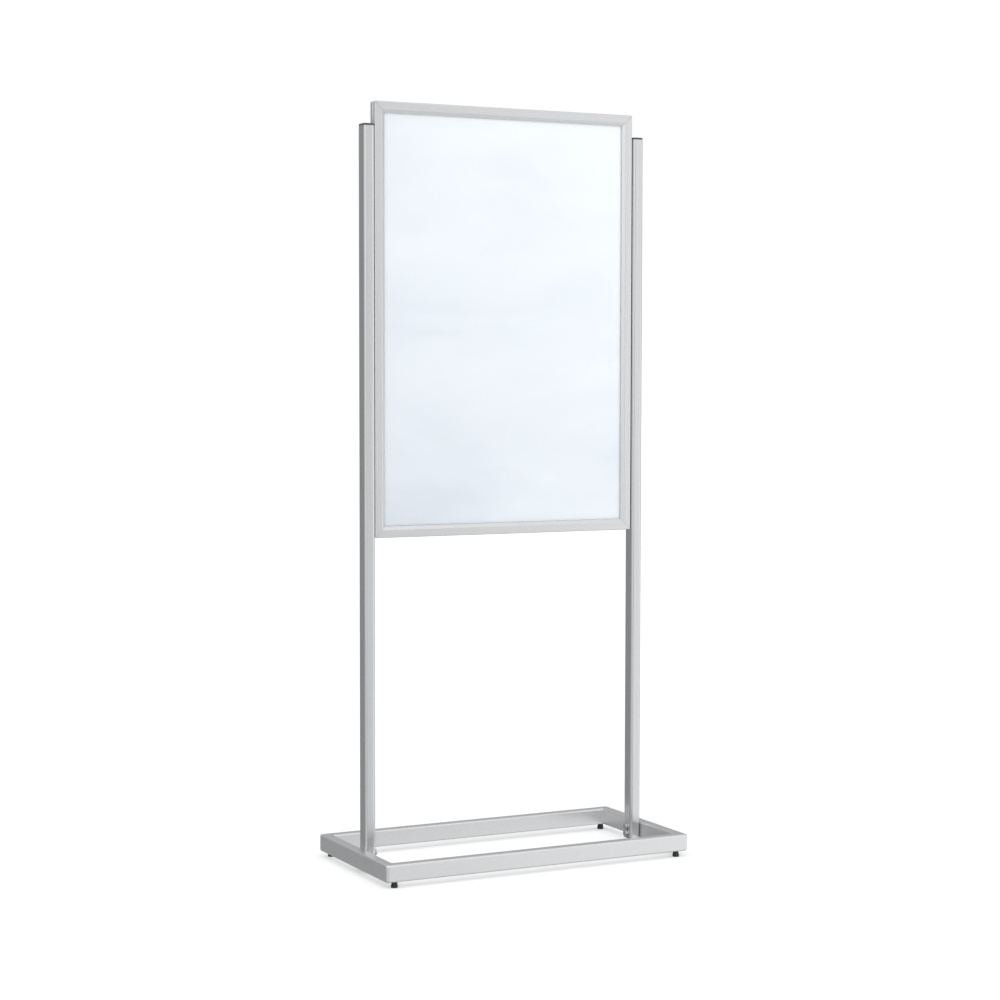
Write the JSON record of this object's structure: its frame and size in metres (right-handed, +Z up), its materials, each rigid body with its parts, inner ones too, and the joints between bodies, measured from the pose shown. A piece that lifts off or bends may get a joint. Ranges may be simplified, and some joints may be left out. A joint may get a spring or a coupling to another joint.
{
  "type": "freestanding poster holder",
  "caption": "Floor poster stand: a mitred portrait snap frame between two rectangular posts on an open tube base with levelling feet; hinged rails open to change the sheets.",
  "frame": {"origin": "on the floor, under the middle of the base", "axes": "+X to the right seen from the front, -Y to the front, +Z up"},
  "size_m": [0.744, 0.372, 1.6748],
  "materials": {
    "silver_aluminium": "satin anodised, fine extrusion lines",
    "silver_post": "satin silver",
    "silver_paint": "silver powder coat",
    "black_plastic": "fine moulded grain",
    "zinc_steel": "bright zinc plate",
    "spring_steel": "blued spring steel",
    "cast_alloy": "plain die cast",
    "white_board": "foamed board",
    "poster_paper": "blank sheet",
    "clear_cover": "clear anti-glare sheet"
  },
  "bodies": {
    "stand": {"base_front_rail": "silver_paint", "base_rear_rail": "silver_paint", "base_left_rail": "silver_paint", "base_right_rail": "silver_paint", "left_post": "silver_post", "right_post": "silver_post", "frame_top_profile": "silver_aluminium", "frame_bottom_profile": "silver_aluminium", "frame_left_profile": "silver_aluminium", "frame_right_profile": "silver_aluminium", "left_post_cap": "black_plastic", "right_post_cap": "black_plastic", "post_foot_plugs": "black_plastic", "post_hole_plugs": "silver_post", "foot_weld_nuts": "zinc_steel", "post_weld_nuts": "zinc_steel", "post_bolts": "zinc_steel", "post_bolt_washers": "zinc_steel", "post_crush_sleeves": "zinc_steel", "frame_mount_screws": "zinc_steel", "frame_nut_plates": "zinc_steel", "frame_spacers": "zinc_steel", "front_snap_springs": "spring_steel", "rear_snap_springs": "spring_steel", "corner_keys": "cast_alloy", "backing_panel": "white_board", "front_poster": "poster_paper", "rear_poster": "poster_paper", "front_cover_sheet": "clear_cover", "rear_cover_sheet": "clear_cover"},
    "front_top_cover": {"front_top_snap_rail": "silver_aluminium"},
    "front_bottom_cover": {"front_bottom_snap_rail": "silver_aluminium"},
    "front_left_cover": {"front_left_snap_rail": "silver_aluminium"},
    "front_right_cover": {"front_right_snap_rail": "silver_aluminium"},
    "rear_top_cover": {"rear_top_snap_rail": "silver_aluminium"},
    "rear_bottom_cover": {"rear_bottom_snap_rail": "silver_aluminium"},
    "rear_left_cover": {"rear_left_snap_rail": "silver_aluminium"},
    "rear_right_cover": {"rear_right_snap_rail": "silver_aluminium"},
    "front_left_foot": {"front_left_foot_pad": "black_plastic"},
    "front_left_stud": {"front_left_foot_stud": "zinc_steel"},
    "front_right_foot": {"front_right_foot_pad": "black_plastic"},
    "front_right_stud": {"front_right_foot_stud": "zinc_steel"},
    "rear_left_foot": {"rear_left_foot_pad": "black_plastic"},
    "rear_left_stud": {"rear_left_foot_stud": "zinc_steel"},
    "rear_right_foot": {"rear_right_foot_pad": "black_plastic"},
    "rear_right_stud": {"rear_right_foot_stud": "zinc_steel"}
  },
  "joints": [
    {"name": "front_top_hinge", "type": "hinge", "parent": "stand", "child": "front_top_cover", "pos_m": [0, -0.0085, 1.6721], "axis": [-1, 0, 0], "range_deg": [0, 90]},
    {"name": "front_bottom_hinge", "type": "hinge", "parent": "stand", "child": "front_bottom_cover", "pos_m": [0, -0.0085, 0.7339], "axis": [1, 0, 0], "range_deg": [0, 90]},
    {"name": "front_left_hinge", "type": "hinge", "parent": "stand", "child": "front_left_cover", "pos_m": [-0.3171, -0.0085, 1.203], "axis": [0, 0, -1], "range_deg": [0, 90]},
    {"name": "front_right_hinge", "type": "hinge", "parent": "stand", "child": "front_right_cover", "pos_m": [0.3171, -0.0085, 1.203], "axis": [0, 0, 1], "range_deg": [0, 90]},
    {"name": "rear_top_hinge", "type": "hinge", "parent": "stand", "child": "rear_top_cover", "pos_m": [0, 0.0085, 1.6721], "axis": [1, 0, 0], "range_deg": [0, 90]},
    {"name": "rear_bottom_hinge", "type": "hinge", "parent": "stand", "child": "rear_bottom_cover", "pos_m": [0, 0.0085, 0.7339], "axis": [-1, 0, 0], "range_deg": [0, 90]},
    {"name": "rear_left_hinge", "type": "hinge", "parent": "stand", "child": "rear_left_cover", "pos_m": [-0.3171, 0.0085, 1.203], "axis": [0, 0, 1], "range_deg": [0, 90]},
    {"name": "rear_right_hinge", "type": "hinge", "parent": "stand", "child": "rear_right_cover", "pos_m": [0.3171, 0.0085, 1.203], "axis": [0, 0, -1], "range_deg": [0, 90]},
    {"name": "front_left_foot_lift", "type": "slide", "parent": "stand", "child": "front_left_foot", "axis": [0, 0, -1], "range_m": [0, 0.012]},
    {"name": "front_left_stud_turn", "type": "hinge", "parent": "front_left_foot", "child": "front_left_stud", "pos_m": [-0.348, -0.1735, 0.02], "axis": [0, 0, -1], "range_deg": [0, 3456.5]},
    {"name": "front_right_foot_lift", "type": "slide", "parent": "stand", "child": "front_right_foot", "axis": [0, 0, -1], "range_m": [0, 0.012]},
    {"name": "front_right_stud_turn", "type": "hinge", "parent": "front_right_foot", "child": "front_right_stud", "pos_m": [0.348, -0.1735, 0.02], "axis": [0, 0, -1], "range_deg": [0, 3456.5]},
    {"name": "rear_left_foot_lift", "type": "slide", "parent": "stand", "child": "rear_left_foot", "axis": [0, 0, -1], "range_m": [0, 0.012]},
    {"name": "rear_left_stud_turn", "type": "hinge", "parent": "rear_left_foot", "child": "rear_left_stud", "pos_m": [-0.348, 0.1735, 0.02], "axis": [0, 0, -1], "range_deg": [0, 3456.5]},
    {"name": "rear_right_foot_lift", "type": "slide", "parent": "stand", "child": "rear_right_foot", "axis": [0, 0, -1], "range_m": [0, 0.012]},
    {"name": "rear_right_stud_turn", "type": "hinge", "parent": "rear_right_foot", "child": "rear_right_stud", "pos_m": [0.348, 0.1735, 0.02], "axis": [0, 0, -1], "range_deg": [0, 3456.5]}
  ],
  "couplings": [
    {"joint": "front_left_stud_turn", "follows": "front_left_foot_lift", "rad_per_m": 5026.5},
    {"joint": "front_right_stud_turn", "follows": "front_right_foot_lift", "rad_per_m": 5026.5},
    {"joint": "rear_left_stud_turn", "follows": "rear_left_foot_lift", "rad_per_m": 5026.5},
    {"joint": "rear_right_stud_turn", "follows": "rear_right_foot_lift", "rad_per_m": 5026.5}
  ]
}
